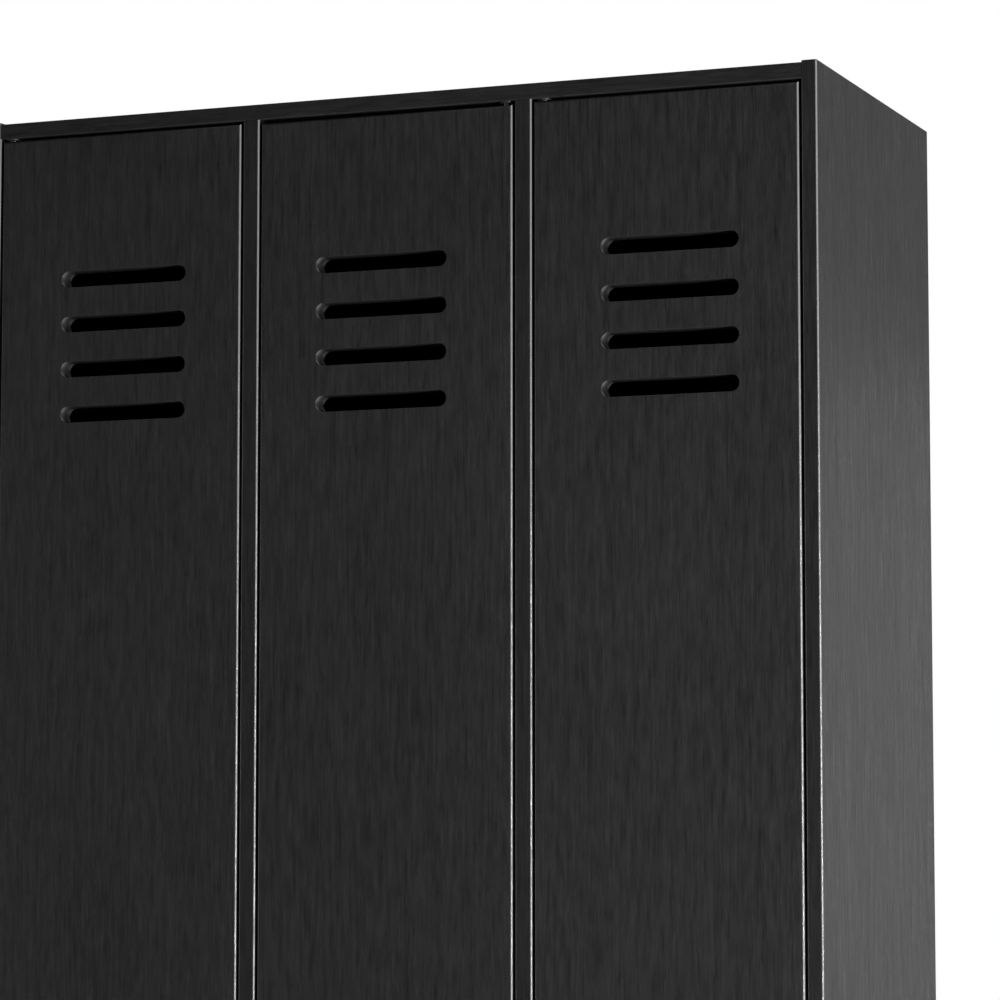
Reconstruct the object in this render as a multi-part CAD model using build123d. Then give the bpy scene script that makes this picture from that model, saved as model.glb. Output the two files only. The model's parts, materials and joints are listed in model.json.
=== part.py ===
from build123d import *
import os

# Three-door wooden locker cabinet. Millimetres, +Z up, front faces -Y.
# Origin: bottom centre of the footprint, on the floor.

# Carcase
HEIGHT = 1950.0
DEPTH = 450.0
SIDE_T = 18.0
DIVIDER_T = 20.0
PANEL_T = 18.0
TOP_STEP = 2.0
OPENING = 314.0
PLINTH_H = 80.0
PLINTH_SETBACK = 45.0
GLIDE_H = 4.0
ARRIS = 2.5

# Doors
DOOR_T = 24.0
GAP = 3.0
DOOR_ARRIS = 3.0
MIDDLE_DROP = 1.5
PIVOT_IN = 9.0

# Ventilation slots
SLOT_LEN = 160.0
SLOT_H = 19.0
SLOT_RIM = 2.0
SLOT_PITCH = 52.8
SLOT_COUNT = 4
SLOT_FROM_END = 157.0
SLOT_OFFSET = 5.0

# Pivot hinges
PIN_R = 3.95
BUSH_BORE_R = 4.0
BUSH_R = 5.95
BUSH_HOLE_R = 6.0
BUSH_DEEP = 12.0
FLANGE_R = 8.5
PLATE_LEN = 45.0
PLATE_W = 10.0
PLATE_T = 2.5

# Back panels
BACK_T = 6.0
BACK_SETBACK = 14.0
GROOVE = 6.0

# Push latches
LATCH_FROM_EDGE = 30.0
LATCH_W = 16.0
LATCH_H = 16.0
LATCH_LEN = 52.0
PLUNGER_R = 3.95
PLUNGER_LEN = 40.0

# Fit-out
HAT_SHELF_Z = 1530.0
SHELF_T = 18.0
SHELF_ZS = (405.0, 780.0, 1155.0, 1530.0)
RAIL_Z = 1470.0
RAIL_R = 12.5
RAIL_WALL = 1.5
SHELF_PIN_R = 2.5
WALL_RAIL_H = 90.0
WALL_HOLE_R = 3.0

EASE = 0.1
FRONT = -DEPTH / 2
BACK = DEPTH / 2
WIDTH = 3 * OPENING + 2 * DIVIDER_T + 2 * SIDE_T
TOP_HIGH = HEIGHT - TOP_STEP
TOP_LOW = TOP_HIGH - PANEL_T
FLOOR_LOW = GLIDE_H + PLINTH_H
FLOOR_HIGH = FLOOR_LOW + PANEL_T
DOOR_W = OPENING - 2 * GAP
DOOR_H = TOP_LOW - FLOOR_HIGH - 2 * GAP
BACK_FRONT = BACK - BACK_SETBACK - BACK_T
INSIDE_FRONT = FRONT + DOOR_T
BAYS = ("left", "middle", "right")
BAY_LOW = {name: -WIDTH / 2 + SIDE_T + i * (OPENING + DIVIDER_T) for i, name in enumerate(BAYS)}
HINGE_SIDE = {"left": -1, "middle": 1, "right": -1}
DOOR_DROP = {"left": 0.0, "middle": MIDDLE_DROP, "right": 0.0}
UPRIGHTS = ("side_panel_left", "divider_left", "divider_right", "side_panel_right")


def block(x0, x1, y0, y1, z0, z1):
    """A box given by its limits."""
    return Pos((x0 + x1) / 2, (y0 + y1) / 2, (z0 + z1) / 2) * Box(x1 - x0, y1 - y0, z1 - z0)


def rod(x, y, z, radius, length, axis):
    """A cylinder from a point, running along an axis."""
    turns = {"x": Rot(0, 90, 0), "y": Rot(90, 0, 0), "z": Rot(0, 0, 0)}
    shift = {"x": (length / 2, 0, 0), "y": (0, length / 2, 0), "z": (0, 0, length / 2)}[axis]
    return Pos(x + shift[0], y + shift[1], z + shift[2]) * turns[axis] * Cylinder(radius, abs(length))


def screw(x, y, z, radius, length, turn, ease=0.0):
    """A countersunk screw whose head's face is at the point."""
    head_h = radius
    head = Pos(0, 0, -head_h / 2) * Cone(radius + ease, 2 * radius + ease, head_h)
    shank = Pos(0, 0, -length / 2) * Cylinder(radius + ease, length)
    return Pos(x, y, z) * turn * (head + shank)


UP = Rot(180, 0, 0)
DOWN = Rot(0, 0, 0)


def ease_front(board, radius):
    """Rounds the upright front arrises of a board."""
    edges = board.edges().filter_by(Axis.Z).group_by(Axis.Y)[0]
    return fillet(edges, radius)


def bay_centre(bay):
    """The middle of a bay along X."""
    return BAY_LOW[bay] + OPENING / 2


def pivot_x(bay):
    """The X position of a door's pivot line."""
    return bay_centre(bay) + HINGE_SIDE[bay] * (DOOR_W / 2 - PIVOT_IN)


def latch_x(bay):
    """The X position of a door's latch, near its free edge."""
    return bay_centre(bay) - HINGE_SIDE[bay] * (DOOR_W / 2 - LATCH_FROM_EDGE)


def door_low(bay):
    """The height of a door's lower edge."""
    return FLOOR_HIGH + GAP - DOOR_DROP[bay]


PIVOT_Y = FRONT + PIVOT_IN

# Boards of the carcase
boards = {}
for name, low in (("side_panel_left", -WIDTH / 2), ("side_panel_right", WIDTH / 2 - SIDE_T)):
    side = block(low, low + SIDE_T, FRONT, BACK, GLIDE_H, HEIGHT)
    side = ease_front(side, ARRIS)
    top_edges = side.faces().sort_by(Axis.Z)[-1].edges().filter_by(Axis.Y)
    boards[name] = fillet(top_edges, 1.0)
for name, bay in (("divider_left", "left"), ("divider_right", "middle")):
    low = BAY_LOW[bay] + OPENING
    boards[name] = ease_front(block(low, low + DIVIDER_T, FRONT, BACK, FLOOR_HIGH, TOP_LOW), ARRIS)
top = block(-WIDTH / 2 + SIDE_T, WIDTH / 2 - SIDE_T, FRONT, BACK, TOP_LOW, TOP_HIGH)
floor = block(-WIDTH / 2 + SIDE_T, WIDTH / 2 - SIDE_T, FRONT, BACK, FLOOR_LOW, FLOOR_HIGH)
boards["top_panel"] = fillet(top.edges().filter_by(Axis.X).group_by(Axis.Y)[0], 1.5)
boards["bottom_panel"] = fillet(floor.edges().filter_by(Axis.X).group_by(Axis.Y)[0], 1.5)
plinth_y = FRONT + PLINTH_SETBACK
inner = WIDTH / 2 - SIDE_T
boards["plinth_front"] = block(-inner, inner, plinth_y, plinth_y + 18, GLIDE_H, FLOOR_LOW)
boards["plinth_back"] = block(-inner, inner, BACK - 63, BACK - 45, GLIDE_H, FLOOR_LOW)

# Back panels, held in grooves all round
back_reach = GROOVE - 1.0
groove_low = BACK_FRONT - EASE
groove_high = BACK_FRONT + BACK_T + EASE
for bay in BAYS:
    x0 = BAY_LOW[bay]
    x1 = x0 + OPENING
    groove = block(
        x0 - GROOVE, x1 + GROOVE, groove_low, groove_high, FLOOR_HIGH - GROOVE, TOP_LOW + GROOVE
    )
    for name in ("top_panel", "bottom_panel", *UPRIGHTS):
        board_box = boards[name].bounding_box()
        if board_box.min.X < x1 + 1 and board_box.max.X > x0 - 1:
            boards[name] = boards[name] - groove
    panel = block(
        x0 - back_reach,
        x1 + back_reach,
        BACK_FRONT,
        BACK_FRONT + BACK_T,
        FLOOR_HIGH - back_reach,
        TOP_LOW + back_reach,
    )
    boards[f"back_panel_{bay}"] = panel
    rail = block(x0, x1, BACK_FRONT - EASE - 18, BACK_FRONT - EASE, TOP_LOW - WALL_RAIL_H, TOP_LOW)
    boards[f"wall_rail_{bay}"] = rail

# Wall fixing holes through the rails and back panels of the outer bays
wall_hole_z = TOP_LOW - WALL_RAIL_H / 2
for bay in ("left", "right"):
    hole = rod(bay_centre(bay), BACK_FRONT - 30, wall_hole_z, WALL_HOLE_R, 60, "y")
    boards[f"wall_rail_{bay}"] = boards[f"wall_rail_{bay}"] - hole
    boards[f"back_panel_{bay}"] = boards[f"back_panel_{bay}"] - hole

# Dowels and cam fittings at every board joint
dowels = []
cams = []
cam_bolts = []
for y in (FRONT + 60, -20.0, BACK - 90):
    for z in (TOP_LOW + PANEL_T / 2, FLOOR_LOW + PANEL_T / 2):
        panel_name = "top_panel" if z > HEIGHT / 2 else "bottom_panel"
        for name, x in (("side_panel_left", -inner), ("side_panel_right", inner)):
            dowels.append(rod(x - 12, y, z, 4.0, 24, "x"))
            hole = rod(x - 12.5, y, z, 4.0 + EASE, 25, "x")
            boards[name] = boards[name] - hole
            boards[panel_name] = boards[panel_name] - hole
    for name in ("divider_left", "divider_right"):
        x = boards[name].bounding_box().center().X
        for panel_name, z in (("top_panel", TOP_LOW), ("bottom_panel", FLOOR_HIGH)):
            dowels.append(rod(x, y, z - 12, 4.0, 24, "z"))
            hole = rod(x, y, z - 12.5, 4.0 + EASE, 25, "z")
            boards[name] = boards[name] - hole
            boards[panel_name] = boards[panel_name] - hole
for y in (FRONT + 95, BACK - 125):
    for panel_name, z, face_z in (
        ("top_panel", TOP_LOW + PANEL_T / 2, TOP_LOW),
        ("bottom_panel", FLOOR_LOW + PANEL_T / 2, FLOOR_LOW),
    ):
        for name, x, inward in (("side_panel_left", -inner, 1), ("side_panel_right", inner, -1)):
            cam_x = x + inward * 34
            cams.append(rod(cam_x, y, face_z, 7.4, 12.5, "z") - rod(cam_x, y, face_z, 2.0, 3.0, "z"))
            boards[panel_name] = boards[panel_name] - rod(cam_x, y, face_z, 7.5, 12.6, "z")
            start = min(x - inward * 11, cam_x - inward * 7.5)
            length = abs(cam_x - inward * 7.5 - x + inward * 11)
            cam_bolts.append(rod(start, y, z, 3.4, length, "x"))
            hole = rod(start - EASE, y, z, 3.4 + EASE, length + 2 * EASE, "x")
            boards[name] = boards[name] - hole
            boards[panel_name] = boards[panel_name] - hole

# Wall rails dowelled between the uprights, plinths dowelled to the sides
for bay in BAYS:
    for x in (BAY_LOW[bay], BAY_LOW[bay] + OPENING):
        z = wall_hole_z + HINGE_SIDE[bay] * 15
        y = BACK_FRONT - 9
        dowels.append(rod(x - 8, y, z, 3.0, 16, "x"))
        hole = rod(x - 8.5, y, z, 3.0 + EASE, 17, "x")
        boards[f"wall_rail_{bay}"] = boards[f"wall_rail_{bay}"] - hole
        for name in UPRIGHTS:
            board_box = boards[name].bounding_box()
            if board_box.min.X < x + 1 and board_box.max.X > x - 1:
                boards[name] = boards[name] - hole
for plinth, y in (("plinth_front", plinth_y + 9), ("plinth_back", BACK - 54)):
    for name, x in (("side_panel_left", -inner), ("side_panel_right", inner)):
        for z in (GLIDE_H + 20, GLIDE_H + 60):
            dowels.append(rod(x - 12, y, z, 4.0, 24, "x"))
            hole = rod(x - 12.5, y, z, 4.0 + EASE, 25, "x")
            boards[name] = boards[name] - hole
            boards[plinth] = boards[plinth] - hole

# Nail-on glides under the side panels and the plinths
glides = []
glide_spots = []
for x, name in ((-WIDTH / 2 + SIDE_T / 2, UPRIGHTS[0]), (WIDTH / 2 - SIDE_T / 2, UPRIGHTS[3])):
    glide_spots += [(x, FRONT + 25, name), (x, BACK - 25, name)]
glide_spots += [(x, plinth_y + 9, "plinth_front") for x in (-200.0, 200.0)]
glide_spots += [(x, BACK - 54, "plinth_back") for x in (-200.0, 200.0)]
for x, y, name in glide_spots:
    glides.append(rod(x, y, 0, 8.0, GLIDE_H, "z") + rod(x, y, GLIDE_H, 1.2, 14, "z"))
    boards[name] = boards[name] - rod(x, y, GLIDE_H, 1.2 + EASE / 2, 14.2, "z")

# Shelves, pins and clothes rails
shelf_pins = []
sockets = []
shelves = {"hat_shelf_left": ("left", HAT_SHELF_Z), "hat_shelf_middle": ("middle", HAT_SHELF_Z)}
for i, z in enumerate(SHELF_ZS):
    shelves[f"shelf_right_{i + 1}"] = ("right", z)
shelf_front = INSIDE_FRONT + 20
shelf_back = BACK_FRONT - 2
for name, (bay, z) in shelves.items():
    x0 = BAY_LOW[bay]
    x1 = x0 + OPENING
    shelf = ease_front(block(x0 + 1, x1 - 1, shelf_front, shelf_back, z, z + SHELF_T), 0.8)
    boards[name] = fillet(shelf.edges().filter_by(Axis.X).group_by(Axis.Y)[0], 1.5)
    for y in (shelf_front + 45, shelf_back - 45):
        for x, inward in ((x0, 1), (x1, -1)):
            shelf_pins.append(rod(min(x - inward * 8, x + inward * 8), y, z - SHELF_PIN_R, SHELF_PIN_R, 16, "x"))


def pin_holes(name, x, bay):
    """Rows of shelf pin holes in an upright's face."""
    zs = (HAT_SHELF_Z,) if bay != "right" else tuple(s + k * 64 for s in SHELF_ZS for k in (-1, 0, 1))
    for z in zs:
        for y in (shelf_front + 45, shelf_back - 45):
            hole = rod(x - 8.2, y, z - SHELF_PIN_R, SHELF_PIN_R + EASE / 2, 16.4, "x")
            boards[name] = boards[name] - hole


for bay in BAYS:
    pin_holes(UPRIGHTS[BAYS.index(bay)], BAY_LOW[bay], bay)
    pin_holes(UPRIGHTS[BAYS.index(bay) + 1], BAY_LOW[bay] + OPENING, bay)

rail_y = 10.0
rail_screws = []
for bay in ("left", "middle"):
    x0 = BAY_LOW[bay]
    x1 = x0 + OPENING
    tube = rod(x0 + 2.5, rail_y, RAIL_Z, RAIL_R, OPENING - 5, "x")
    tube = tube - rod(x0, rail_y, RAIL_Z, RAIL_R - RAIL_WALL, OPENING, "x")
    boards[f"clothes_rail_{bay}"] = tube
    for x, inward in ((x0, 1), (x1, -1)):
        cup = rod(min(x, x + inward * 12), rail_y, RAIL_Z, RAIL_R + 2.5, 12, "x")
        bore_start = min(x + inward * 2.4, x + inward * 12.4)
        cup = cup - rod(bore_start, rail_y, RAIL_Z, RAIL_R + 0.05, 10, "x")
        cup = cup - rod(x - 5, rail_y, RAIL_Z, 2.1, 10, "x")
        sockets.append(cup)
        nail = rod(min(x - inward * 9, x + inward * 2.4), rail_y, RAIL_Z, 2.0, 11.4, "x")
        head = rod(min(x + inward * 2.4, x + inward * 4.4), rail_y, RAIL_Z, 4.0, 2.0, "x")
        rail_screws.append(nail + head)
        name = UPRIGHTS[BAYS.index(bay) + (0 if inward == 1 else 1)]
        boards[name] = boards[name] - rod(x - 9.2, rail_y, RAIL_Z, 2.05, 18.4, "x")

# Doors, pivots and strikes
bushes = []
for bay in BAYS:
    xc = bay_centre(bay)
    low = door_low(bay)
    high = low + DOOR_H
    door = block(xc - DOOR_W / 2, xc + DOOR_W / 2, FRONT, FRONT + DOOR_T, low, high)
    door = fillet(door.faces().sort_by(Axis.Y)[0].edges(), DOOR_ARRIS)
    door = fillet(door.faces().sort_by(Axis.Y)[-1].edges(), 1.0)
    slot_x = xc - HINGE_SIDE[bay] * SLOT_OFFSET
    for i in range(SLOT_COUNT):
        for z in (
            high - SLOT_FROM_END - SLOT_H / 2 - SLOT_RIM - i * SLOT_PITCH,
            low + SLOT_FROM_END + SLOT_H / 2 + SLOT_RIM + i * SLOT_PITCH,
        ):
            profile = Plane((slot_x, FRONT - 1, z), x_dir=(1, 0, 0), z_dir=(0, -1, 0))
            door = door - extrude(profile * SlotOverall(SLOT_LEN, SLOT_H), -(DOOR_T + 2))
    reach = SLOT_FROM_END + SLOT_COUNT * SLOT_PITCH
    rims = [
        e for e in door.edges()
        if abs(abs(e.center().Y - FRONT - DOOR_T / 2) - DOOR_T / 2) < 0.01
        and abs(e.center().X - slot_x) < SLOT_LEN / 2 + 3
        and SLOT_FROM_END - 5 < min(e.center().Z - low, high - e.center().Z) < reach
    ]
    door = fillet(rims, SLOT_RIM)
    px = pivot_x(bay)
    inward = -HINGE_SIDE[bay]
    plates = []
    screws = []
    for end, face, screw_turn in ((1, high, DOWN), (-1, low, UP)):
        x0 = min(px - inward * 5, px + inward * (PLATE_LEN - 5))
        z0 = min(face, face - end * PLATE_T)
        plate = block(x0, x0 + PLATE_LEN, PIVOT_Y - PLATE_W / 2, PIVOT_Y + PLATE_W / 2, z0, z0 + PLATE_T)
        gap = TOP_LOW - high if end == 1 else low - FLOOR_HIGH
        pin_len = gap + 11.0
        plate = plate + rod(px, PIVOT_Y, min(face, face + end * pin_len), PIN_R, pin_len, "z")
        mortise = block(
            x0 - EASE,
            x0 + PLATE_LEN + EASE,
            PIVOT_Y - PLATE_W / 2 - EASE,
            PIVOT_Y + PLATE_W / 2 + EASE,
            min(face + end, face - end * PLATE_T),
            max(face + end, face - end * PLATE_T),
        )
        door = door - mortise
        for along in (14.0, 32.0):
            sx = px + inward * along
            screws.append(screw(sx, PIVOT_Y, face, 1.75, 18, screw_turn))
            hole = screw(sx, PIVOT_Y, face, 1.75, 18.2, screw_turn, 0.05)
            plate = plate - hole
            door = door - hole
        plates.append(plate)
        flange_t = 1.5 if end == 1 else gap - EASE
        sleeve_z = TOP_LOW if end == 1 else FLOOR_HIGH - BUSH_DEEP
        flange_z = TOP_LOW - flange_t if end == 1 else FLOOR_HIGH
        bush = rod(px, PIVOT_Y, sleeve_z, BUSH_R, BUSH_DEEP, "z")
        bush = bush + rod(px, PIVOT_Y, flange_z, FLANGE_R, flange_t, "z")
        bushes.append(bush - rod(px, PIVOT_Y, sleeve_z - 20, BUSH_BORE_R, BUSH_DEEP + 40, "z"))
        panel_name = "top_panel" if end == 1 else "bottom_panel"
        hole_z = TOP_LOW if end == 1 else FLOOR_HIGH - BUSH_DEEP - 1
        boards[panel_name] = boards[panel_name] - rod(px, PIVOT_Y, hole_z, BUSH_HOLE_R, BUSH_DEEP + 1, "z")
    lx = latch_x(bay)
    strike_z = TOP_LOW - LATCH_H / 2 - 1
    strike_y = FRONT + DOOR_T - 2
    strike = rod(lx, strike_y, strike_z, 6.5, 2, "y")
    door = door - rod(lx, strike_y, strike_z, 6.6, 4, "y")
    boards[f"door_{bay}"] = door
    boards[f"pivot_plates_{bay}"] = Compound(children=plates)
    boards[f"pivot_screws_{bay}"] = Compound(children=screws)
    boards[f"strike_plate_{bay}"] = strike

# Push latches under the top panel, and the door stops beside them
housings = []
latch_screws = []
stops = []
buffers = []
stop_screws = []
for bay in BAYS:
    lx = latch_x(bay)
    y0 = INSIDE_FRONT + 6
    z1 = TOP_LOW
    z0 = z1 - LATCH_H - 2
    axis_z = z1 - LATCH_H / 2 - 1
    housing = block(lx - LATCH_W / 2, lx + LATCH_W / 2, y0, y0 + LATCH_LEN, z0, z1)
    housing = fillet(housing.edges().filter_by(Axis.Y).group_by(Axis.Z)[0], 3.0)
    wings = block(lx - 18, lx + 18, y0 + 16, y0 + 36, z1 - 3, z1)
    housing = housing + wings
    housing = housing - rod(lx, y0 - 1, axis_z, PLUNGER_R + 0.05, LATCH_LEN - 3, "y")
    for sx in (-13.0, 13.0):
        latch_screws.append(screw(lx + sx, y0 + 26, z1 - 3, 1.5, 14, UP))
        hole = screw(lx + sx, y0 + 26, z1 - 3, 1.5, 14.2, UP, 0.05)
        housing = housing - hole
        boards["top_panel"] = boards["top_panel"] - hole
    housings.append(housing)
    plunger = rod(lx, INSIDE_FRONT + 0.2, axis_z, PLUNGER_R, PLUNGER_LEN, "y")
    boards[f"latch_plunger_{bay}"] = fillet(plunger.edges().group_by(Axis.Y)[0], 1.0)
    stop_x = lx + HINGE_SIDE[bay] * 40
    for z0, z1, face, turn, panel_name in (
        (TOP_LOW - 16, TOP_LOW, TOP_LOW - 16, UP, "top_panel"),
        (FLOOR_HIGH, FLOOR_HIGH + 16, FLOOR_HIGH + 16, DOWN, "bottom_panel"),
    ):
        stop = block(stop_x - 14, stop_x + 14, INSIDE_FRONT + 2.7, INSIDE_FRONT + 20.7, z0, z1)
        hole = screw(stop_x, INSIDE_FRONT + 12, face, 1.75, 28.2, turn, 0.05)
        stops.append(stop - hole)
        stop_screws.append(screw(stop_x, INSIDE_FRONT + 12, face, 1.75, 28, turn))
        boards[panel_name] = boards[panel_name] - hole
        buffers.append(rod(stop_x, INSIDE_FRONT + 0.2, (z0 + z1) / 2, 5.0, 2.5, "y"))

boards["hinge_bushes"] = Compound(children=bushes)
boards["latch_housings"] = Compound(children=housings)
boards["latch_screws"] = Compound(children=latch_screws)
boards["door_stops"] = Compound(children=stops)
boards["door_stop_screws"] = Compound(children=stop_screws)
boards["door_buffers"] = Compound(children=buffers)
boards["shelf_pins"] = Compound(children=shelf_pins)
boards["rail_sockets"] = Compound(children=sockets)
boards["rail_socket_screws"] = Compound(children=rail_screws)
boards["floor_glides"] = Compound(children=glides)
boards["joint_dowels"] = Compound(children=dowels)
boards["cam_discs"] = Compound(children=cams)
boards["cam_bolts"] = Compound(children=cam_bolts)

os.makedirs("parts", exist_ok=True)
for name, shape in boards.items():
    export_step(shape, f"parts/{name}.step")
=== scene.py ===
import json
import math

import bmesh
import bpy
from mathutils import Matrix, Vector


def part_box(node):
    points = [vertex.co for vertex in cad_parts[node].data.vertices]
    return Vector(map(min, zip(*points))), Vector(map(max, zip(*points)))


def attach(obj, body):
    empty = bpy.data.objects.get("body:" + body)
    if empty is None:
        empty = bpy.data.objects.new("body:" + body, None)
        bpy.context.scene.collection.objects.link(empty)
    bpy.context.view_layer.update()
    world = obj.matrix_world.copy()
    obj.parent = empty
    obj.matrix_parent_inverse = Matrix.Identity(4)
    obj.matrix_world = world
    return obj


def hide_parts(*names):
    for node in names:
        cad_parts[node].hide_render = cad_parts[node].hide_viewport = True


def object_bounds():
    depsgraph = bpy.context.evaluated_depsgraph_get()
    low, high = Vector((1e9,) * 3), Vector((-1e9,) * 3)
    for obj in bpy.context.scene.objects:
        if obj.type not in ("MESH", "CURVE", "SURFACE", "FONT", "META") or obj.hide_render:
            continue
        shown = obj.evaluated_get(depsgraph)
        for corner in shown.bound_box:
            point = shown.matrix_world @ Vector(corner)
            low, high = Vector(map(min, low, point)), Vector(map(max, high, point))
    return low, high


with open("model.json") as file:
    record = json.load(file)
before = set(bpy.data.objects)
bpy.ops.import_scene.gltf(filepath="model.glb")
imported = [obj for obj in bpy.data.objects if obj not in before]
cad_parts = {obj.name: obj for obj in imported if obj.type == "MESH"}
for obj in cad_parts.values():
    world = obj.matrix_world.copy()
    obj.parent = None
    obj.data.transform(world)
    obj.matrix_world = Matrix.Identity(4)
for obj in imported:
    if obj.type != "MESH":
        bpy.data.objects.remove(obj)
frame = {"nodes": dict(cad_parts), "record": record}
cad_low, cad_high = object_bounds()
BAYS = ("left", "middle", "right")
SLOTS = {row["node"]: row["material_slot"] for row in frame["record"]["subparts"]}
BODY_OF = {
    node: body for body, nodes in frame["record"]["behaviour"]["bodies"].items() for node in nodes
}


class Value:
    """One output of a node; arithmetic on it adds Math nodes to the same tree."""

    def __init__(self, nodes, socket):
        self.nodes = nodes
        self.socket = socket

    def _math(self, operation, first, second):
        return self.nodes.node("ShaderNodeMath", {"operation": operation}, {0: first, 1: second})

    def __add__(self, other):
        return self._math("ADD", self, other)

    def __radd__(self, other):
        return self._math("ADD", other, self)

    def __sub__(self, other):
        return self._math("SUBTRACT", self, other)

    def __rsub__(self, other):
        return self._math("SUBTRACT", other, self)

    def __mul__(self, other):
        return self._math("MULTIPLY", self, other)

    def __rmul__(self, other):
        return self._math("MULTIPLY", other, self)


class Nodes:
    """A node tree, and the one way nodes are added to it."""

    def __init__(self, tree):
        self.tree = tree

    def node(self, kind, settings, sockets, out=0):
        """Adds a node; each socket takes a number, a Value or a list of Values."""
        made = self.tree.nodes.new(kind)
        for key, value in settings.items():
            setattr(made, key, value)
        for key, value in sockets.items():
            for item in value if isinstance(value, list) else [value]:
                if isinstance(item, Value):
                    self.tree.links.new(item.socket, made.inputs[key])
                else:
                    made.inputs[key].default_value = item
        return Value(self, made.outputs[out])


class Finish(Nodes):
    """One material: its shader, and the nodes that vary it."""

    # The Mix node's colour sockets share their names with its other types, so they go by number
    MIX_A, MIX_B, MIX_RESULT = 6, 7, 2

    def __init__(self, name, constants=()):
        self.material = bpy.data.materials.new(name)
        self.material.use_nodes = True
        super().__init__(self.material.node_tree)
        self.shader = self.tree.nodes["Principled BSDF"]
        for key, value in dict(constants).items():
            self.shader.inputs[key].default_value = value

    def place(self, scale):
        """Object coordinates stretched by a scale along each axis."""
        where = self.node("ShaderNodeTexCoord", {}, {}, "Object")
        return self.node("ShaderNodeMapping", {}, {"Vector": where, "Scale": scale})

    def noise(self, scale, detail=3.0, roughness=0.55):
        sockets = {
            "Vector": self.place(scale),
            "Scale": 1.0,
            "Detail": detail,
            "Roughness": roughness,
        }
        return self.node("ShaderNodeTexNoise", {}, sockets, "Fac")

    def spread(self, value, low, high):
        """Stretches a value so that low to high becomes 0 to 1."""
        sockets = {"Value": value, "From Min": low, "From Max": high}
        return self.node("ShaderNodeMapRange", {}, sockets)

    def mix(self, share, first, second):
        sockets = {"Factor": share, self.MIX_A: first, self.MIX_B: second}
        return self.node("ShaderNodeMix", {"data_type": "RGBA"}, sockets, self.MIX_RESULT)

    def arris(self, crown):
        """1 on rounded edges, which get a painted highlight, and 0 elsewhere.

        Flat faces, the curved ends inside a slot and level edges above the crown stay at 0, so they
        get no painted highlight.
        """
        normal = self.node("ShaderNodeTexCoord", {}, {}, "Normal")
        facing = self.node("ShaderNodeVectorMath", {"operation": "ABSOLUTE"}, {0: normal})
        x, y, z = (
            self.node("ShaderNodeSeparateXYZ", {}, {"Vector": facing}, axis) for axis in "XYZ"
        )
        flattest = self.node("ShaderNodeMath", {"operation": "MAXIMUM"}, {0: x, 1: y})
        flattest = self.node("ShaderNodeMath", {"operation": "MAXIMUM"}, {0: flattest, 1: z})
        place = self.place((1.0, 1.0, 1.0))
        height = self.node("ShaderNodeSeparateXYZ", {}, {"Vector": place}, "Z")
        level = self.spread(z, 0.02, 0.3) * self.spread(height, crown, crown + 0.01)
        rounded = self.spread(1.0 - flattest, 0.01, 0.12)
        return rounded * self.spread(y, 0.02, 0.2) * (1.0 - level)

    def feed(self, socket, value):
        self.tree.links.new(value.socket, self.shader.inputs[socket])

    def bump(self, height, strength, distance):
        sockets = {"Height": height, "Strength": strength, "Distance": distance}
        self.feed("Normal", self.node("ShaderNodeBump", {}, sockets))


def grey(level, warmth=0.0):
    return (level * (1 + warmth), level, level * (1 - warmth), 1.0)


def stretched(grain, across, along):
    """Scales for a pattern that runs along one axis."""
    return tuple(along if axis == grain else across for axis in "xyz")


def stained_wood(name, grain, dark, pale, roughness, crown=0.0):
    """Black-stained brushed wood with its grain along one axis, and a painted highlight on its
    rounded edges.
    """
    wood = Finish(name, {"Specular IOR Level": 0.45})
    fibre = wood.spread(wood.noise(stretched(grain, 700.0, 30.0), 5.0, 0.7), 0.34, 0.66)
    streak = wood.spread(wood.noise(stretched(grain, 260.0, 11.0), 4.0, 0.7), 0.36, 0.64)
    mottle = wood.spread(wood.noise(stretched(grain, 120.0, 30.0), 3.0, 0.6), 0.34, 0.66)
    cloud = wood.spread(wood.noise((3.1, 3.1, 2.3), 2.0), 0.3, 0.7)
    pore = wood.spread(wood.noise(stretched(grain, 1500.0, 70.0), 2.0), 0.58, 0.7)
    tone = fibre * 0.32 + streak * 0.3 + mottle * 0.26 + cloud * 0.12
    tone = tone * (1.0 - pore * 0.7)
    # Painted highlight on rounded edges: the colour is mixed towards pale grey and the roughness
    # lowered
    edge_highlight = wood.arris(crown)
    board = wood.mix(tone, dark, pale)
    wood.feed("Base Color", wood.mix(edge_highlight * 0.85, board, grey(0.2)))
    matt = roughness + fibre * 0.08 - streak * 0.1 + pore * 0.12
    wood.feed("Roughness", matt * (1.0 - edge_highlight * 0.45))
    wood.bump(fibre * 0.6 + streak * 0.25 + mottle * 0.15 - pore * 0.8, 0.3, 0.0005)
    return wood.material


def plain_wood(name, dark, pale):
    """Raw beech, with short fine flecks."""
    wood = Finish(name)
    fibre = wood.spread(wood.noise((500.0, 500.0, 40.0), 4.0), 0.3, 0.7)
    fleck = wood.spread(wood.noise((900.0, 900.0, 300.0), 2.0), 0.58, 0.66)
    wood.feed("Base Color", wood.mix(fibre * (1.0 - fleck * 0.4), dark, pale))
    wood.feed("Roughness", 0.62 + fibre * 0.1)
    wood.bump(fibre, 0.2, 0.0003)
    return wood.material


def metal(name, dark, pale, roughness, across, along, grain="x"):
    """Metal with a drawn or tumbled finish."""
    steel = Finish(name, {"Metallic": 1.0})
    line = steel.spread(steel.noise(stretched(grain, across, along), 4.0), 0.3, 0.7)
    smudge = steel.spread(steel.noise((22.0, 22.0, 22.0), 3.0), 0.35, 0.7)
    steel.feed("Base Color", steel.mix(line * 0.6 + smudge * 0.4, dark, pale))
    steel.feed("Roughness", roughness + line * 0.08 + smudge * 0.08)
    steel.bump(line, 0.12, 0.0002)
    return steel.material


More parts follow.
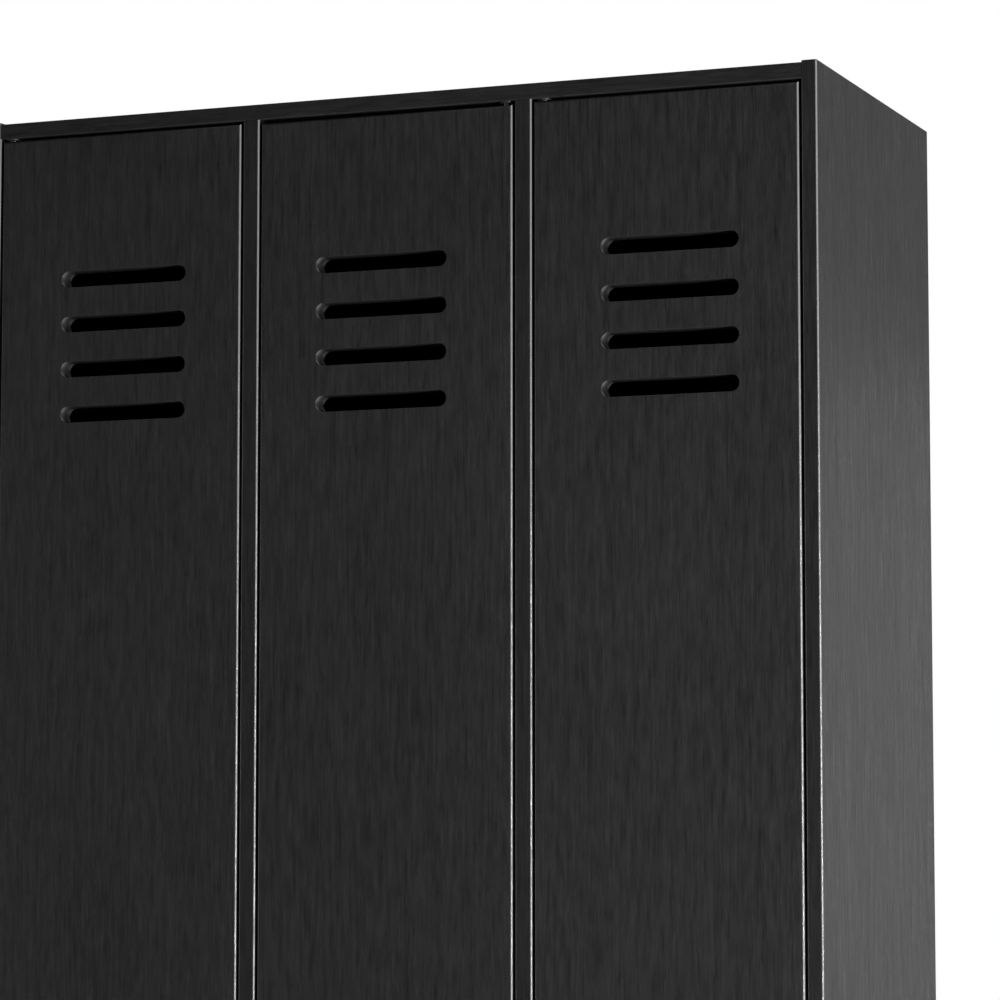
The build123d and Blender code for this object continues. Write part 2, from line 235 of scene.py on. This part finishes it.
def moulded(name, dark, pale, roughness, grit):
    """Moulded plastic or rubber with a fine spark-eroded skin."""
    plastic = Finish(name)
    skin = plastic.noise((grit, grit, grit), 3.0)
    tone = plastic.noise((35.0, 35.0, 35.0), 2.0)
    plastic.feed("Base Color", plastic.mix(plastic.spread(tone, 0.3, 0.7), dark, pale))
    plastic.feed("Roughness", roughness + skin * 0.15)
    plastic.bump(skin, 0.2, 0.0002)
    return plastic.material


# Level edges above this height get no painted highlight
DOOR_CROWN = cad_high.z - 0.09
UPRIGHT = stained_wood("stained_upright", "z", grey(0.006), grey(0.031), 0.345)
DOOR_WOOD = stained_wood("stained_door", "z", grey(0.005), grey(0.042), 0.385, DOOR_CROWN)
CROSSWISE = stained_wood("stained_crosswise", "x", grey(0.006), grey(0.032), 0.4)
BACKING = stained_wood("painted_backing", "z", grey(0.007), grey(0.016), 0.6)
BEECH_DARK = (0.42, 0.26, 0.14, 1.0)
BEECH_PALE = (0.66, 0.47, 0.29, 1.0)
FINISHES = {
    "black_board": UPRIGHT,
    "black_door": DOOR_WOOD,
    "back_board": BACKING,
    "rail_chrome": metal("rail_chrome", grey(0.6), grey(0.78), 0.1, 900.0, 12.0),
    "zinc_steel": metal("zinc_steel", grey(0.42), grey(0.62, 0.03), 0.3, 800.0, 200.0),
    "cast_zinc": metal("cast_zinc", grey(0.3), grey(0.48), 0.45, 600.0, 600.0),
    "pivot_steel": metal("pivot_steel", grey(0.4), grey(0.6), 0.28, 1200.0, 20.0),
    "glide_plastic": moulded("glide_plastic", grey(0.02), grey(0.05), 0.5, 2500.0),
    "beech": plain_wood("beech", BEECH_DARK, BEECH_PALE),
    "bush_nylon": moulded("bush_nylon", grey(0.018), grey(0.035), 0.4, 1800.0),
    "latch_plastic": moulded("latch_plastic", grey(0.015), grey(0.035), 0.45, 2200.0),
    "plunger_plastic": moulded("plunger_plastic", grey(0.2), grey(0.3), 0.35, 2200.0),
    "buffer_rubber": moulded("buffer_rubber", grey(0.012), grey(0.028), 0.7, 3000.0),
}
GRAIN_ALONG_X = (
    "top_panel",
    "bottom_panel",
    "plinth",
    "wall_rail",
    "hat_shelf",
    "shelf_right",
)
for node, obj in frame["nodes"].items():
    finish = CROSSWISE if node.startswith(GRAIN_ALONG_X) else FINISHES[SLOTS[node]]
    obj.data.materials.clear()
    obj.data.materials.append(finish)


class Rule(Nodes):
    """A geometry tree with named inputs, used to make finished meshes."""

    TYPES = {float: "NodeSocketFloat", int: "NodeSocketInt", tuple: "NodeSocketVector"}
    RIM_SEGMENTS = 4

    def __init__(self, name, sizes):
        super().__init__(bpy.data.node_groups.new(name, "GeometryNodeTree"))
        face = self.tree.interface
        face.new_socket("Geometry", in_out="OUTPUT", socket_type="NodeSocketGeometry")
        face.new_socket("Geometry", in_out="INPUT", socket_type="NodeSocketGeometry")
        self.keys = {}
        for key, value in sizes.items():
            kind = self.TYPES.get(type(value), "NodeSocketObject")
            self.keys[key] = face.new_socket(key, in_out="INPUT", socket_type=kind).identifier
        self.start = self.tree.nodes.new("NodeGroupInput")

    def given(self, key):
        return Value(self, self.start.outputs[key])

    def join(self, *parts):
        return self.node("GeometryNodeJoinGeometry", {}, {"Geometry": list(parts)})

    def cut(self, whole, cutter, out=0):
        return self.node(
            "GeometryNodeMeshBoolean",
            {"operation": "DIFFERENCE", "solver": "EXACT"},
            {"Mesh 1": whole, "Mesh 2": cutter},
            out,
        )

    def end(self, geometry, material):
        real = self.node("GeometryNodeRealizeInstances", {}, {"Geometry": geometry})
        done = self.node("GeometryNodeSetMaterial", {}, {"Geometry": real, "Material": material})
        output = self.tree.nodes.new("NodeGroupOutput")
        self.tree.links.new(done.socket, output.inputs[0])

    def make(self, name, mesh, sizes, round_width=0.0):
        """Runs the tree on a mesh and returns the plain result as an object at the origin."""
        obj = new_object(name, mesh)
        modifier = obj.modifiers.new("rule", "NODES")
        modifier.node_group = self.tree
        for key, value in sizes.items():
            modifier[self.keys[key]] = value
        if round_width:
            bevel = obj.modifiers.new("rims", "BEVEL")
            bevel.limit_method = "WEIGHT"
            bevel.width = round_width
            bevel.segments = self.RIM_SEGMENTS
        depsgraph = bpy.context.evaluated_depsgraph_get()
        plain = bpy.data.meshes.new_from_object(obj.evaluated_get(depsgraph))
        obj.modifiers.clear()
        obj.data = plain
        plain.name = name
        smooth(plain)
        return obj


SHARP_DEGREES = 35.0
SQUARE_NORMAL = 0.9999


def smooth(mesh):
    """Smooth shading on the rounded faces only, so that flat faces stay flat."""
    mesh.shade_smooth()
    mesh.set_sharp_from_angle(angle=math.radians(SHARP_DEGREES))
    for face in mesh.polygons:
        face.use_smooth = max(abs(part) for part in face.normal) < SQUARE_NORMAL


def new_object(name, data):
    obj = bpy.data.objects.new(name, data)
    bpy.context.scene.collection.objects.link(obj)
    return obj


def solids(node):
    """Lowest and highest corner of each separate solid in a CAD node."""
    bm = bmesh.new()
    bm.from_mesh(frame["nodes"][node].data)
    bmesh.ops.remove_doubles(bm, verts=bm.verts, dist=1e-6)
    left = set(bm.verts)
    found = []
    while left:
        todo = [left.pop()]
        group = []
        while todo:
            vert = todo.pop()
            group.append(vert.co.copy())
            near = {e.other_vert(vert) for e in vert.link_edges} & left
            left -= near
            todo += near
        low = Vector(min(co[i] for co in group) for i in range(3))
        high = Vector(max(co[i] for co in group) for i in range(3))
        found.append((low, high))
    bm.free()
    return sorted(found, key=lambda pair: tuple(round(c, 5) for c in pair[0]))


def finished(obj, node):
    """Puts a piece on its body in place of a CAD node."""
    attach(obj, BODY_OF[node])
    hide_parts(node)


def mesh_from(bm, name):
    """Turns a bmesh into a mesh and frees it."""
    mesh = bpy.data.meshes.new(name)
    bm.to_mesh(mesh)
    bm.free()
    return mesh


TURNED_SIDES = 28


def turned(name, profile):
    """A closed turned shape from (radius, height) points; both ends lie on the axis."""
    bm = bmesh.new()
    rings = []
    for radius, height in profile:
        count = TURNED_SIDES if radius > 0 else 1
        angles = [2 * math.pi * i / TURNED_SIDES for i in range(count)]
        rings.append([
            bm.verts.new((radius * math.cos(a), radius * math.sin(a), height)) for a in angles
        ])
    for first, second in zip(rings, rings[1:]):
        for i in range(TURNED_SIDES):
            j = (i + 1) % TURNED_SIDES
            corners = [first[i % len(first)], first[j % len(first)]]
            corners += [second[j % len(second)], second[i % len(second)]]
            bm.faces.new(list(dict.fromkeys(corners)))
    bmesh.ops.recalc_face_normals(bm, faces=bm.faces)
    return mesh_from(bm, name)


# --- Small repeated pieces ---
ACROSS_X = (0.0, math.pi / 2, 0.0)
ACROSS_X_BACK = (0.0, -math.pi / 2, 0.0)
FACE_FRONT = (math.pi / 2, 0.0, 0.0)
FACE_UP = (0.0, 0.0, 0.0)
FACE_DOWN = (math.pi, 0.0, 0.0)
MID_HEIGHT = (cad_low.z + cad_high.z) / 2


def repeat_rule(name, material, recess):
    """Stands a turned piece at every point, with a cross recess if it has one."""
    sizes = {"Piece": None, "Recess Reach": 0.0, "Recess Width": 0.0, "Recess Depth": 0.0}
    rule = Rule(name, sizes)
    piece = rule.node(
        "GeometryNodeObjectInfo", {}, {"Object": rule.given("Piece")}, "Geometry"
    )
    if recess:
        reach, width = rule.given("Recess Reach"), rule.given("Recess Width")
        depth = rule.given("Recess Depth") * 2.0
        for first, second in ((reach, width), (width, reach)):
            size = rule.node("ShaderNodeCombineXYZ", {}, {"X": first, "Y": second, "Z": depth})
            piece = rule.cut(piece, rule.node("GeometryNodeMeshCube", {}, {"Size": size}))
    turn = rule.node(
        "GeometryNodeInputNamedAttribute", {"data_type": "FLOAT_VECTOR"}, {"Name": "turn"}
    )
    turn = rule.node("FunctionNodeEulerToRotation", {}, {"Euler": turn})
    spots = rule.node("GeometryNodeMeshToPoints", {}, {"Mesh": rule.given("Geometry")})
    placed = rule.node(
        "GeometryNodeInstanceOnPoints", {}, {"Points": spots, "Instance": piece, "Rotation": turn}
    )
    rule.end(placed, material)
    return rule


def repeated(node, profile, where, recess=None):
    """Makes all the solids of a CAD node from one turned piece.

    where gives a spot and a turn for each solid; recess gives a reach, width and depth.
    """
    spots = [where(low, high) for low, high in solids(node)]
    carrier = bpy.data.meshes.new(node + "_spots")
    carrier.from_pydata([spot for spot, _ in spots], [], [])
    turns = carrier.attributes.new("turn", "FLOAT_VECTOR", "POINT")
    turns.data.foreach_set("vector", [value for _, turn in spots for value in turn])
    piece = new_object(node + "_piece", turned(node + "_piece", profile))
    rule = repeat_rule(node + "_rule", FINISHES[SLOTS[node]], recess)
    sizes = {"Piece": piece}
    if recess:
        keys = ("Recess Reach", "Recess Width", "Recess Depth")
        sizes.update(zip(keys, recess))
    made = rule.make(node + "_set", carrier, sizes)
    bpy.data.objects.remove(piece)
    finished(made, node)


def end_spot(low, high, head_up):
    """The head's centre of an upright screw, and its turn."""
    middle = (low + high) / 2
    height = high.z if head_up else low.z
    return (middle.x, middle.y, height), FACE_UP if head_up else FACE_DOWN


def countersunk(radius, length):
    """The profile of a countersunk screw with its head at height 0."""
    return [
        (0, 0),
        (radius * 1.9, 0),
        (radius * 2, -radius * 0.12),
        (radius, -radius),
        (radius, -length + radius * 2),
        (0, -length),
    ]


# Reach, width and depth of a screwdriver recess
CROSS = (0.0034, 0.0008, 0.0012)
CAM_CROSS = (0.009, 0.0016, 0.003)
for bay in BAYS:
    repeated(
        f"pivot_screws_{bay}",
        countersunk(0.00175, 0.018),
        lambda low, high: end_spot(low, high, low.z > MID_HEIGHT),
        CROSS,
    )
repeated(
    "latch_screws",
    countersunk(0.0015, 0.014),
    lambda low, high: end_spot(low, high, False),
    CROSS,
)
repeated(
    "door_stop_screws",
    countersunk(0.00175, 0.028),
    lambda low, high: end_spot(low, high, low.z < MID_HEIGHT),
    CROSS,
)
repeated(
    "cam_discs",
    [(0, 0), (0.0068, 0), (0.0074, -0.0006), (0.0074, -0.0125), (0, -0.0125)],
    lambda low, high: end_spot(low, high, False),
    CAM_CROSS,
)
repeated(
    "floor_glides",
    [
        (0, 0),
        (0.0068, 0),
        (0.008, 0.0012),
        (0.008, 0.004),
        (0.0012, 0.004),
        (0.0012, 0.0165),
        (0, 0.018),
    ],
    lambda low, high: (((low.x + high.x) / 2, (low.y + high.y) / 2, low.z), FACE_UP),
)
repeated(
    "door_buffers",
    [(0, 0), (0.0034, 0), (0.0046, -0.0005), (0.005, -0.0014), (0.005, -0.0025), (0, -0.0025)],
    lambda low, high: (((low.x + high.x) / 2, low.y, (low.z + high.z) / 2), FACE_FRONT),
)
repeated(
    "shelf_pins",
    [(0, -0.008), (0.002, -0.008), (0.0025, -0.0074), (0.0025, 0.0074), (0.002, 0.008), (0, 0.008)],
    lambda low, high: (tuple((low + high) / 2), ACROSS_X),
)


def rail_screw_spot(low, high):
    """The screw's head faces the middle of its bay."""
    middle = (low + high) / 2
    doors = [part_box(f"door_{bay}") for bay in BAYS]
    centres = [(door_low.x + door_high.x) / 2 for door_low, door_high in doors]
    if min(centres, key=lambda x: abs(x - middle.x)) > middle.x:
        return (high.x, middle.y, middle.z), ACROSS_X
    return (low.x, middle.y, middle.z), ACROSS_X_BACK


repeated(
    "rail_socket_screws",
    [
        (0, 0),
        (0.002, 0),
        (0.0035, -0.0006),
        (0.004, -0.002),
        (0.002, -0.002),
        (0.002, -0.0124),
        (0, -0.0134),
    ],
    rail_screw_spot,
    CROSS,
)

# --- Doors ---
SLOT_LENGTH = 0.160
SLOT_HEIGHT = 0.019
SLOT_RIM = 0.002
SLOT_PITCH = 0.0528
SLOT_FROM_END = 0.157
SLOT_OFFSET = 0.005
SLOTS_PER_GROUP = 4
SLOT_CUT_REACH = 0.03
SLOT_END_POINTS = 10
SLOT_END_SHARE = 0.4999
FRONT_ARRIS = 0.003
BACK_ARRIS = 0.001
FRONT_SEGMENTS = 5
BACK_SEGMENTS = 2
PLATE_THICKNESS = 0.0025
STRIKE_SEAT_DEPTH = 0.004
STRIKE_SIDES = 32
CLEARANCE = 0.0001
ON_PLANE = 1e-6


def door_blank(name, low, high):
    """A plain board with rounded front and back arrises."""
    bm = bmesh.new()
    size = high - low
    place = Matrix.Translation((low + high) / 2) @ Matrix.Diagonal((*size, 1.0))
    bmesh.ops.create_cube(bm, size=1.0, matrix=place)
    for face_y, radius, segments in (
        (low.y, FRONT_ARRIS, FRONT_SEGMENTS),
        (high.y, BACK_ARRIS, BACK_SEGMENTS),
    ):
        edges = [e for e in bm.edges if all(abs(v.co.y - face_y) < ON_PLANE for v in e.verts)]
        bmesh.ops.bevel(
            bm, geom=edges, offset=radius, segments=segments, profile=0.5, affect="EDGES"
        )
    bmesh.ops.recalc_face_normals(bm, faces=bm.faces)
    return mesh_from(bm, name)


def door_rule(material):
    """Cuts the pivot and strike recesses, then both groups of vent slots."""
    point = (0.0, 0.0, 0.0)
    sizes = {
        "Slot Length": 0.0,
        "Slot Height": 0.0,
        "Slot Pitch": 0.0,
        "Slots": 1,
        "Upper Slot": point,
        "Lower Slot": point,
        "Mortise Size": point,
        "Upper Mortise": point,
        "Lower Mortise": point,
        "Strike Radius": 0.0,
        "Strike": point,
    }
    rule = Rule("vented_door", sizes)
    mortises = []
    for key in ("Upper Mortise", "Lower Mortise"):
        block = rule.node("GeometryNodeMeshCube", {}, {"Size": rule.given("Mortise Size")})
        sockets = {"Geometry": block, "Translation": rule.given(key)}
        mortises.append(rule.node("GeometryNodeTransform", {}, sockets))
    sockets = {
        "Vertices": STRIKE_SIDES,
        "Radius": rule.given("Strike Radius"),
        "Depth": STRIKE_SEAT_DEPTH,
    }
    disc = rule.node("GeometryNodeMeshCylinder", {"fill_type": "NGON"}, sockets)
    disc = rule.node(
        "GeometryNodeTransform",
        {},
        {"Geometry": disc, "Rotation": FACE_FRONT, "Translation": rule.given("Strike")},
    )
    board = rule.cut(rule.given("Geometry"), rule.join(*mortises, disc))
    height = rule.given("Slot Height")
    sockets = {"Width": rule.given("Slot Length"), "Height": height}
    outline = rule.node("GeometryNodeCurvePrimitiveQuadrilateral", {}, sockets)
    sockets = {"Curve": outline, "Count": SLOT_END_POINTS, "Radius": height * SLOT_END_SHARE}
    outline = rule.node("GeometryNodeFilletCurve", {"mode": "POLY"}, sockets)
    ends = {"Start": (0, 0, -SLOT_CUT_REACH), "End": (0, 0, SLOT_CUT_REACH)}
    path = rule.node("GeometryNodeCurvePrimitiveLine", {}, ends)
    cutter = rule.node(
        "GeometryNodeCurveToMesh", {}, {"Curve": path, "Profile Curve": outline, "Fill Caps": True}
    )
    cutter = rule.node("GeometryNodeTransform", {}, {"Geometry": cutter, "Rotation": FACE_FRONT})
    pitch = rule.given("Slot Pitch")
    rows = []
    for key, step in (("Upper Slot", pitch * -1.0), ("Lower Slot", pitch)):
        offset = rule.node("ShaderNodeCombineXYZ", {}, {"Z": step})
        sockets = {"Count": rule.given("Slots"), "Start Location": rule.given(key), "Offset": offset}
        rows.append(rule.node("GeometryNodeMeshLine", {"mode": "OFFSET"}, sockets))
    spots = rule.node("GeometryNodeMeshToPoints", {}, {"Mesh": rule.join(*rows)})
    cutters = rule.node(
        "GeometryNodeInstanceOnPoints", {}, {"Points": spots, "Instance": cutter}
    )
    cutters = rule.node("GeometryNodeRealizeInstances", {}, {"Geometry": cutters})
    board = rule.cut(board, cutters)
    rims = Value(rule, board.socket.node.outputs["Intersecting Edges"])
    board = rule.node(
        "GeometryNodeStoreNamedAttribute",
        {"data_type": "FLOAT", "domain": "EDGE"},
        {"Geometry": board, "Name": "bevel_weight_edge", "Value": rims},
    )
    rule.end(board, material)
    return rule


def build_doors():
    rule = door_rule(DOOR_WOOD)
    for bay in BAYS:
        low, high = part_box(f"door_{bay}")
        plates = solids(f"pivot_plates_{bay}")
        plate_low, plate_high = max(plates, key=lambda pair: pair[0].z)
        strike_low, strike_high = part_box(f"strike_plate_{bay}")
        centre = (low + high) / 2
        plate = (plate_low + plate_high) / 2
        side = 1 if plate.x > centre.x else -1
        slot_x = centre.x - side * SLOT_OFFSET
        reach = SLOT_FROM_END + SLOT_RIM + SLOT_HEIGHT / 2
        span = plate_high - plate_low
        strike = (strike_low + strike_high) / 2
        sizes = {
            "Slot Length": SLOT_LENGTH,
            "Slot Height": SLOT_HEIGHT,
            "Slot Pitch": SLOT_PITCH,
            "Slots": SLOTS_PER_GROUP,
            "Upper Slot": (slot_x, centre.y, high.z - reach),
            "Lower Slot": (slot_x, centre.y, low.z + reach),
            "Mortise Size": (
                span.x + 2 * CLEARANCE,
                span.y + 2 * CLEARANCE,
                2 * PLATE_THICKNESS,
            ),
            "Upper Mortise": (plate.x, plate.y, high.z),
            "Lower Mortise": (plate.x, plate.y, low.z),
            "Strike Radius": (strike_high.x - strike_low.x) / 2 + CLEARANCE,
            "Strike": (strike.x, strike_low.y + STRIKE_SEAT_DEPTH / 2, strike.z),
        }
        blank = door_blank(f"door_{bay}_blank", low, high)
        door = rule.make(f"door_{bay}_board", blank, sizes, SLOT_RIM)
        finished(door, f"door_{bay}")


build_doors()

# --- Stage, light and camera ---
FLOOR_RADIUS = 2.6
FLOOR_SIDES = 96
FLOOR_LEVEL = 0.82
AMBIENT_LEVEL = 0.04


def pale_floor():
    bm = bmesh.new()
    bmesh.ops.create_circle(bm, cap_ends=True, segments=FLOOR_SIDES, radius=FLOOR_RADIUS)
    disc = new_object("pale_floor", mesh_from(bm, "pale_floor"))
    floor = Finish("pale_floor")
    tone = floor.noise((6.0, 6.0, 6.0), 2.0)
    floor.feed("Base Color", floor.mix(tone, grey(FLOOR_LEVEL), grey(FLOOR_LEVEL * 1.04)))
    floor.feed("Roughness", 0.8 + tone * 0.1)
    disc.data.materials.append(floor.material)


def studio_world():
    """White behind the object, and only a little light from all round."""
    world = bpy.data.worlds.new("studio")
    bpy.context.scene.world = world
    world.use_nodes = True
    background = world.node_tree.nodes["Background"]
    studio = Nodes(world.node_tree)
    seen = studio.node("ShaderNodeLightPath", {}, {}, "Is Camera Ray")
    sockets = {"Factor": seen, Finish.MIX_A: grey(AMBIENT_LEVEL), Finish.MIX_B: grey(1.0)}
    shade = studio.node("ShaderNodeMix", {"data_type": "RGBA"}, sockets, Finish.MIX_RESULT)
    world.node_tree.links.new(shade.socket, background.inputs["Color"])


def softbox(name, place, target, width, height, watts):
    """An area light at a place, aimed at a target."""
    light = bpy.data.lights.new(name, "AREA")
    light.shape = "RECTANGLE"
    light.size = width
    light.size_y = height
    light.energy = watts
    lamp = new_object(name, light)
    lamp.location = place
    aim = Vector(target) - Vector(place)
    lamp.rotation_euler = aim.to_track_quat("-Z", "Y").to_euler()


pale_floor()
studio_world()
bpy.context.scene.view_settings.view_transform = "Standard"

# Strips light the arrises; boxes light the faces
softbox("right_strip", (3.7, -1.5, 0.45), (0.2, 0.0, 0.6), 0.3, 2.7, 320.0)
softbox("right_box", (4.0, 1.2, 1.3), (0.5, 0.0, 1.4), 2.0, 2.0, 5.0)
softbox("left_strip", (-3.7, -1.6, 0.9), (-0.2, 0.0, 0.9), 0.3, 2.6, 15.0)
softbox("front_box", (1.5, -1.8, 0.35), (0.4, 0.0, 1.2), 0.8, 0.6, 3.5)
softbox("top_box", (0.8, 0.6, 4.6), (0.0, 0.0, 1.2), 3.0, 2.4, 20.0)
softbox("back_box", (0.6, 4.4, 1.2), (0.0, 0.0, 0.8), 2.6, 2.0, 11.5)
softbox("back_upper", (0.6, 4.4, 2.9), (0.0, 0.0, 1.4), 2.6, 1.4, 3.3)

CAMERA_FROM_CORNER = (1.242, -4.107, -0.898)
CAMERA_YAW = 21.423
CAMERA_RISE = 5.56
CAMERA_LENS = 143.95
SENSOR_WIDTH = 36.0
camera_data = bpy.data.cameras.new("camera")
camera_data.sensor_width = SENSOR_WIDTH
camera_data.lens = CAMERA_LENS
camera = new_object("camera", camera_data)
corner = Vector((cad_high.x, cad_low.y, cad_high.z))
camera.location = corner + Vector(CAMERA_FROM_CORNER)
camera.rotation_euler = (math.radians(90 + CAMERA_RISE), 0.0, math.radians(CAMERA_YAW))
bpy.context.scene.camera = camera
